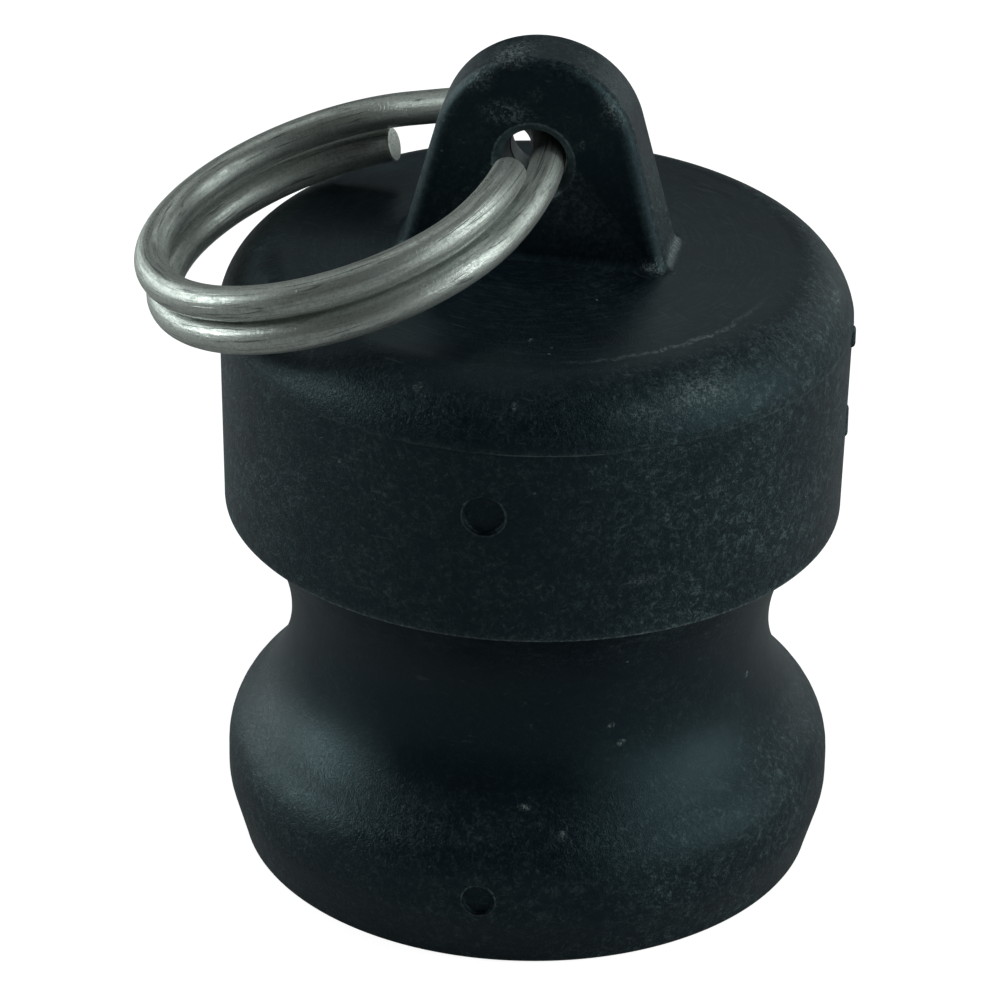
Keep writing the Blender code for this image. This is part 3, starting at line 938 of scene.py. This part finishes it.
def marked(tree, place):
    """The table's marks as one mask, soft at their borders."""
    total = Term(tree, 0.0)
    for centre, reach, strength in MARKS:
        away = vector_math(tree, "SUBTRACT", place, centre)
        scaled = vector_math(tree, "DIVIDE", away, reach)
        far = add_node(tree, "ShaderNodeVectorMath", {0: scaled}, operation="LENGTH")
        near = (MARK_FADE - Term(tree, far.outputs["Value"])).clamped() * strength
        total = total.math("MAXIMUM", near)
    return total


def plastic_material(finish, at, lug):
    """Black moulded polypropylene: mottled bloom, fine grain, specks, scuffs and rubbed edges, with painted
    light: more bloom on the sides that the side lamps light, less on the shoulder's front as painted shade,
    and painted highlights on the shoulder and the lug's edge.
    """
    made, tree, shader = new_material("black_polypropylene")
    place = place_of(tree)
    radius, bearing, height = group_node(tree, "Round The Axis", {"Place": place, "Axis": AXIS_X / MM})
    grain, cloud, fleck = group_node(tree, "Mottle", {"Place": place, "Grain Size": 0.2, "Cloud Size": 5.0})
    (specks,) = group_node(tree, "Specks", {"Place": place, "Spacing": 1.6, "Size": 0.13, "Share": 0.10})
    stretch = (0.6, 5.0, 5.0)
    slant = math.radians(24)
    (scuffs,) = group_node(
        tree, "Scuffs", {"Place": place, "Stretch": stretch, "Turn": slant, "Threshold": 0.63}
    )
    around_hole = {"Place": swung(tree, place, HOLE / MM), "Axis": 0.0}
    from_hole = group_node(tree, "Round The Axis", around_hole)[0]
    across_lug = parts_of(tree, place)[1].math("ABSOLUTE")
    wear = Term(tree, attribute(tree, "edge_wear")["Fac"])

    # Heights and radii in millimetres, and where each part of the surface begins
    lip = at.lip / MM
    foot = at.head_foot / MM
    crown = at.crown / MM
    crown_edge = at.crown_edge / MM
    crown_reach = at.crown_edge_radius / MM
    side = at.foot_radius / MM
    neck = at.neck_radius / MM
    lug_face = lug.thickness / 2 / MM
    bore = lug.hole_radius / MM
    rim = bore + lug.hole_flare / MM
    on_side = stretched(radius, side - 0.9, side - 0.2)
    on_shoulder = stretched(radius, crown_reach + 0.3, crown_reach + 2.0) * stretched(height, lip - 0.5, lip)
    on_lug_edge = 1 - stretched(across_lug, lug_face - 0.45, lug_face + 0.05)
    on_lug_edge = on_lug_edge * stretched(height, crown + 0.5, crown + 1.0)
    on_lug_edge = on_lug_edge * stretched(from_hole, rim + 0.03, rim + 0.23)
    on_flare = stretched(radius, neck + 0.5, neck + 2.4) * (1 - stretched(height, foot - 1.0, foot))
    on_top = stretched(height, crown_edge - 0.1, crown_edge)
    on_top = on_top * (1 - stretched(height, crown + 0.2, crown + 0.6))
    on_top = on_top * (1 - stretched(radius, crown_reach - 1.25, crown_reach + 0.75))
    coarse = on_side.math("MAXIMUM", on_shoulder)
    coarse = coarse.math("MAXIMUM", on_lug_edge * 0.7).math("MAXIMUM", on_flare * 0.8) * 0.8 + 0.2
    # Left and right sides, which the side lamps light: the bloom is laid on more thickly there as painted
    # light
    lit_sides = stretched(bearing, 12.0, 40.0).math("MAXIMUM", 1 - stretched(bearing, -60.0, -35.0))

    # Broken patterns that the lines and marks are cut up by
    chips = stretched(noise(tree, place, 3.4, detail=3.0, roughness=0.7, distortion=0.6), 0.46, 0.62)
    flakes = stretched(noise(tree, place, 5.5, distortion=0.8), 0.50, 0.60)
    dash = stretched(noise(tree, vector(tree, bearing * 0.12, height * 0.4), 1.7), 0.46, 0.6)
    streaks = noise(tree, vector(tree, bearing * 0.05, radius * 3.2), 1.6, detail=3.0, roughness=0.7)
    wandering = noise(tree, place, 0.8, roughness=0.5) * 0.8 - 0.4

    # Chipped line where the shoulder meets the top, in front at the right
    crown_line = band(radius + wandering, crown_reach - 0.15, 0.22) * band(bearing, 44.0, 34.0)
    crown_line = crown_line * stretched(height, crown_edge - 0.4, crown_edge)
    crown_line = crown_line * (dash * 0.2 + chips * 0.5 + flakes * 0.7)
    # Moulding line at the lip, clear in front and at the right, and the head's rubbed foot
    lip_front = band(bearing, 11.5, 9.5).math("GREATER_THAN", 0.02)
    lip_right = stretched(bearing, 52.0, 60.0) * (1 - stretched(bearing, 110.0, 130.0))
    lip_line = band(height, lip - 0.03, 0.075) * on_side
    lip_line = lip_line * (lip_front * 0.75 + lip_right * 0.4 + dash * 0.35 + 0.05)
    foot_line = band(height, foot + 0.06, 0.12) * (chips * 0.5 + 0.25) * on_side
    # Turning streaks on the top, worn edges, and the hole's flared rim with its ragged border
    rings = stretched(streaks, 0.5, 0.74) * on_top
    worn = wear * (chips * 0.6 + grain * 0.25 + 0.05) * 0.16
    rim_band = stretched(from_hole, bore - 0.08, bore + 0.02)
    rim_band = rim_band * (1 - stretched(from_hole, rim - 0.03, rim + 0.05))
    burr = band(from_hole, rim, 0.10) * (chips * 0.7 + 0.3)
    marks = marked(tree, place) * (flakes * 1.1 + chips * 0.2 + 0.03)

    # Patchy bloom with painted light and shade: thicker on the lit sides, thinner on the shoulder's front
    patches_and_side_light = (grain * (fleck * 1.3 + 0.1) + fleck * 0.2) * (cloud * 0.8 + 0.5)
    patches_and_side_light = patches_and_side_light * (lit_sides * 0.6 + 0.5) * (1.0 - on_shoulder * (1 - lit_sides) * 0.45)
    bloom = patches_and_side_light * coarse + cloud * 0.04 + rings * 0.2 + worn * 1.5 + rim_band * (fleck * 0.5 + 0.4)
    lines = crown_line * 0.6 + lip_line * 0.4 + foot_line * 0.5 + burr * 0.4
    pale = specks * 0.6 + scuffs * 0.08 + lines + worn * 0.6 + marks
    colour = mixed(tree, bloom.clamped(), finish.plastic, finish.bloom)
    colour = mixed(tree, pale.clamped(), colour, finish.dust)
    roughness = cloud * 0.08 + grain * coarse * 0.12 + (finish.plastic_roughness - 0.08)
    heights = (grain * 0.6 + fleck * 0.6) * coarse
    finish_surface(tree, shader, colour, roughness, heights, strength=0.8, depth=0.03)
    shader.inputs["Specular IOR Level"].default_value = finish.plastic_gloss
    shader.inputs["Specular Tint"].default_value = (*finish.gloss_tint, 1.0)
    return made


def wire_material(finish):
    """Drawn steel wire: lines along the wire, dull tarnish, pale rubs and cut ends."""
    made, tree, shader = new_material("drawn_steel_wire")
    place = vector_math(tree, "MULTIPLY", attribute(tree, "wire_place")["Vector"], (1 / MM,) * 3)
    drawn = vector_math(tree, "MULTIPLY", place, (0.055, 1.0, 1.0))
    wear = Term(tree, attribute(tree, "edge_wear")["Fac"])
    grain, cloud, fleck = group_node(tree, "Mottle", {"Place": place, "Grain Size": 0.16, "Cloud Size": 2.6})
    streak = stretched(noise(tree, drawn, 2.2, detail=3.0), 0.34, 0.66)
    hair = stretched(noise(tree, drawn, 7.0), 0.36, 0.64)
    die_line = band(noise(tree, drawn, 1.6, detail=1.0, roughness=0.5), 0.5, 0.022)
    die_line = die_line * stretched(hair, 0.3, 0.6)
    rub = stretched(noise(tree, drawn, 1.1, roughness=0.5), 0.55, 0.7) * cloud
    dull = streak * 0.25 + cloud * 0.15 + grain * 0.6 + fleck * 0.4 - rub * 0.5 - wear * 0.8
    dull = dull.clamped()
    dark = (die_line * 0.6 + hair.math("POWER", 4.0) * 0.3).clamped()
    colour = mixed(tree, dark, mixed(tree, dull, finish.steel, finish.tarnish), finish.groove)
    roughness = dull * 0.25 + hair * 0.06 - rub * 0.16 + (finish.steel_roughness - 0.08)
    heights = streak * 0.4 + hair * 0.4 + grain * 0.5 - die_line * 0.8
    finish_surface(tree, shader, colour, roughness, heights, strength=0.6, depth=0.022)
    shader.inputs["Metallic"].default_value = finish.steel_metal
    return made


def wire_tree(sizes):
    """Geometry Nodes that lay the split ring's wire along its coils and give it thickness."""
    inputs = {**sizes, "hole": "Vector", "finish": "Material"}
    tree, given, result = new_group("Split Ring Wire", "GeometryNodeTree", inputs, ("Mesh",))
    size = SimpleNamespace(**{name: Term(tree, given.outputs[name]) for name in sizes})
    line = add_node(tree, "GeometryNodeCurvePrimitiveLine", {"End": (1.0, 0.0, 0.0)})
    fine = add_node(tree, "GeometryNodeResampleCurve", {"Curve": line.outputs[0], "Count": size.points})
    run = add_node(tree, "GeometryNodeSplineParameter")
    turned_by = size.wire_start + (size.wire_end - size.wire_start) * Term(tree, run.outputs["Factor"])
    crossing = ((turned_by - size.cross_centre + size.cross_half) / (size.cross_half * 2)).eased()
    lift = size.end_lift * ((size.wire_start + size.lift_span - turned_by) / size.lift_span).eased()
    half_pitch = size.wire_radius + size.coil_gap / 2
    height = half_pitch * (1 - crossing * 2) + lift - size.sink
    off_bow = ((turned_by - size.bow_centre).math("ABSOLUTE") / size.bow_half).clamped()
    bowed = (off_bow * (math.pi / 2)).math("COSINE")
    radius = size.coil_radius + size.bow * bowed * bowed
    bearing = size.slide - turned_by
    reach = size.coil_radius + size.set_out
    x = radius * bearing.math("COSINE") - reach * size.slide.math("COSINE")
    y = radius * bearing.math("SINE") - reach * size.slide.math("SINE")
    rolled = rotated(tree, vector(tree, x, y, height), "X", size.roll)
    tilted = rotated(tree, rolled, "Y", size.tilt * -1.0)
    placed = vector_math(tree, "ADD", tilted, given.outputs["hole"])
    laid = add_node(tree, "GeometryNodeSetPosition", {"Geometry": fine.outputs[0], "Position": placed})
    kept = add_node(tree, "GeometryNodeCaptureAttribute", {"Geometry": laid.outputs[0]}, domain="POINT")
    kept.capture_items.new("FLOAT", "along")
    run_out = add_node(tree, "GeometryNodeSplineParameter")
    tree.links.new(run_out.outputs["Length"], kept.inputs["along"])
    circle = add_node(
        tree, "GeometryNodeCurvePrimitiveCircle", {"Resolution": size.sides, "Radius": size.wire_radius}
    )
    rim = add_node(tree, "GeometryNodeCaptureAttribute", {"Geometry": circle.outputs[0]}, domain="POINT")
    rim.capture_items.new("VECTOR", "rim")
    tree.links.new(add_node(tree, "GeometryNodeInputPosition").outputs[0], rim.inputs["rim"])
    curves = {"Curve": kept.outputs["Geometry"], "Profile Curve": rim.outputs["Geometry"], "Fill Caps": True}
    tube = add_node(tree, "GeometryNodeCurveToMesh", curves)
    across, up, _ = parts_of(tree, rim.outputs["rim"])
    unrolled = vector(tree, kept.outputs["along"], across, up)
    stored = add_node(
        tree,
        "GeometryNodeStoreNamedAttribute",
        {"Geometry": tube.outputs[0], "Name": "wire_place", "Value": unrolled},
        data_type="FLOAT_VECTOR",
        domain="POINT",
    )
    return dressed_mesh(tree, result, stored.outputs[0], given.outputs["finish"])


def softbox(name, azimuth, elevation, size, power):
    """A large square area lamp round the object, aimed at it."""
    data = bpy.data.lights.new(name, "AREA")
    data.shape = "SQUARE"
    data.size = size
    data.energy = power
    data.color = LAMP_COLOUR
    made = linked(name, data)
    a = math.radians(azimuth)
    e = math.radians(elevation)
    away = Vector((math.sin(a) * math.cos(e), -math.cos(a) * math.cos(e), math.sin(e)))
    made.location = LAMP_AIM + away * LAMP_DISTANCE
    made.rotation_euler = (-away).to_track_quat("-Z", "Y").to_euler()


def floor_material(colour, in_gloss):
    """Pale floor that the camera sees as white, with the shadow kept."""
    made, tree, shader = new_material("pale_floor")
    tree.nodes.remove(shader)
    matt = add_node(tree, "ShaderNodeBsdfDiffuse", {"Color": (*colour, 1.0)})
    rays = add_node(tree, "ShaderNodeLightPath")
    seen = Term(tree, rays.outputs["Is Camera Ray"]) + rays.outputs["Is Transmission Ray"]
    seen = (seen + Term(tree, rays.outputs["Is Glossy Ray"]) * in_gloss).clamped()
    glow = add_node(tree, "ShaderNodeEmission", {"Color": FLOOR_WHITE, "Strength": seen})
    both = add_node(tree, "ShaderNodeAddShader", {0: matt.outputs[0], 1: glow.outputs[0]})
    tree.links.new(both.outputs[0], tree.nodes["Material Output"].inputs["Surface"])
    return made


class DUSTPLUG_OT_stage(bpy.types.Operator):
    """Set the floor, the lamps, the room's light and the camera"""
    bl_idname = "dust_plug.stage"
    bl_label = "Set the Stage"

    def execute(self, context):
        studio = context.scene.dust_plug.studio
        shape = bmesh.new()
        bmesh.ops.create_circle(shape, cap_ends=True, segments=96, radius=FLOOR_RADIUS)
        mesh = bpy.data.meshes.new("floor")
        shape.to_mesh(mesh)
        shape.free()
        mesh.materials.append(floor_material(studio.floor, studio.mirrored_floor))
        linked("floor", mesh)
        for side, azimuth, elevation, size in LAMPS:
            softbox(side + "_softbox", azimuth, elevation, size, getattr(studio, side + "_lamp"))
        world = bpy.data.worlds.new("room")
        world.use_nodes = True
        light = world.node_tree.nodes["Background"]
        light.inputs["Color"].default_value = (1.0, 1.0, 1.0, 1.0)
        light.inputs["Strength"].default_value = studio.surround
        context.scene.world = world
        context.scene.view_settings.view_transform = "Standard"
        data = bpy.data.cameras.new("camera")
        data.lens = studio.lens
        data.sensor_width = 36.0
        data.clip_start = 0.01
        data.clip_end = 10.0
        camera = linked("camera", data)
        camera.location = (AXIS_X + CAMERA_PLACE[0], CAMERA_PLACE[1], CAMERA_PLACE[2])
        camera.rotation_euler = Euler([math.radians(turn) for turn in CAMERA_TURN])
        context.scene.camera = camera
        return {"FINISHED"}


class DUSTPLUG_OT_plug(bpy.types.Operator):
    """Make the moulded plug with its groove, lug, hole and mould marks"""
    bl_idname = "dust_plug.plug"
    bl_label = "Make the Plug"

    def execute(self, context):
        settings = context.scene.dust_plug
        plug = settings.plug
        lug = settings.lug
        at = PlugHeights(plug, lug)
        plastic = plastic_material(settings.finish, at, lug)
        values = {
            "Steps": plug.turn_steps,
            "Unevenness": plug.unevenness,
            "Flash": plug.flash,
            "Flash Height": at.lip,
            "Finish": plastic,
        }
        body = turned("dust_plug", plug_outline(plug, at), values)
        dimple_height = at.lip - lug.head_dimple_drop
        flange_middle = (at.flange + at.crest_foot) / 2
        head_surface = at.foot_radius + plug.head_taper * (dimple_height - at.head_foot) / plug.head_side
        crest = at.lip_radius + lug.ridge_proud
        dimples = (
            ("head_dimple", lug.head_dimple, dimple_height, head_surface),
            ("flange_dimple", lug.flange_dimple, flange_middle, plug.body_radius),
        )
        side_middle = at.lip - lug.side_ridge_drop
        side_crest = crest - lug.side_ridge_setback
        added = [
            lug_piece(at, lug),
            ridge_piece("side_ridge", lug, side_middle, lug.side_ridge_height, side_crest),
            ridge_piece("lip_ridge", lug, at.lip - lug.lip_ridge_drop, lug.lip_ridge_height, crest),
        ]
        removed = [hole_piece(at, lug)]
        for name, radius, height, surface in dimples:
            added.append(burr_piece(name + "_burr", radius, height, surface, lug.dimple_burr))
            removed.append(dimple_piece(name, radius, height, surface - lug.dimple_depth, surface))
        for piece in added + removed:
            join = body.modifiers.new(piece.name, "BOOLEAN")
            join.operation = "DIFFERENCE" if piece in removed else "UNION"
            join.solver = "EXACT"
            join.object = piece
        mesh = plain_mesh(body, "dust_plug")
        discard(body, *added, *removed)
        mesh.transform(Matrix.Translation((AXIS_X, 0, 0)))
        mesh.materials.clear()
        mesh.materials.append(plastic)
        mesh.polygons.foreach_set("material_index", [0] * len(mesh.polygons))
        shaded(mesh)
        finished = linked("dust_plug", flat_faces_kept(mesh))
        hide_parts("plug_body")
        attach(finished, "plug")
        return {"FINISHED"}


class DUSTPLUG_OT_ring(bpy.types.Operator):
    """Make the split ring, one wire of two coils through the lug's hole"""
    bl_idname = "dust_plug.ring"
    bl_label = "Make the Split Ring"

    def execute(self, context):
        settings = context.scene.dust_plug
        ring = settings.ring
        sizes = {name: getattr(ring, name) for name in ring.__annotations__ if name != "end_chamfer"}
        source = linked("ring_source", bpy.data.meshes.new("ring_source"))
        modifier = source.modifiers.new("wire", "NODES")
        modifier.node_group = wire_tree(sizes)
        set_inputs(modifier, {**sizes, "hole": HOLE, "finish": wire_material(settings.finish)})
        mesh = plain_mesh(source, "split_ring_wire")
        discard(source)
        shape = bmesh.new()
        shape.from_mesh(mesh)
        bmesh.ops.recalc_face_normals(shape, faces=shape.faces)
        caps = [face for face in shape.faces if len(face.verts) > 4]
        rims = list({edge for face in caps for edge in face.edges})
        chamfer = {"offset": ring.end_chamfer, "segments": 2, "profile": 0.5, "clamp_overlap": True}
        bmesh.ops.bevel(shape, geom=rims, affect="EDGES", **chamfer)
        shape.to_mesh(mesh)
        shape.free()
        shaded(mesh)
        finished = linked("split_ring_wire", mesh)
        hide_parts("split_ring")
        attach(finished, "ring")
        return {"FINISHED"}


class DUSTPLUG_PT_panel(bpy.types.Panel):
    """Lists the steps that make the dust plug, with their sizes and colours"""
    bl_idname = "DUSTPLUG_PT_panel"
    bl_label = "Dust Plug"
    bl_space_type = "VIEW_3D"
    bl_region_type = "UI"
    bl_category = "Dust Plug"

    def draw(self, context):
        settings = context.scene.dust_plug
        steps = (
            (DUSTPLUG_OT_stage, settings.studio),
            (DUSTPLUG_OT_plug, settings.plug),
            (DUSTPLUG_OT_ring, settings.ring),
        )
        for step, group in steps:
            box = self.layout.box()
            box.operator(step.bl_idname)
            for name in group.__annotations__:
                box.prop(group, name)
        for group in (settings.lug, settings.finish):
            box = self.layout.box()
            for name in group.__annotations__:
                box.prop(group, name)


CLASSES = (
    PlugShape,
    LugShape,
    RingShape,
    Finish,
    Studio,
    DustPlug,
    DUSTPLUG_OT_stage,
    DUSTPLUG_OT_plug,
    DUSTPLUG_OT_ring,
    DUSTPLUG_PT_panel,
)


def register():
    """Register the classes and hang the settings on the scene."""
    for item in CLASSES:
        bpy.utils.register_class(item)
    bpy.types.Scene.dust_plug = PointerProperty(type=DustPlug)


def unregister():
    """Undo register."""
    del bpy.types.Scene.dust_plug
    for item in reversed(CLASSES):
        bpy.utils.unregister_class(item)


def main():
    """Make everything in order."""
    register()
    bpy.ops.dust_plug.stage()
    bpy.ops.dust_plug.plug()
    bpy.ops.dust_plug.ring()


if __name__ == "__main__":
    main()
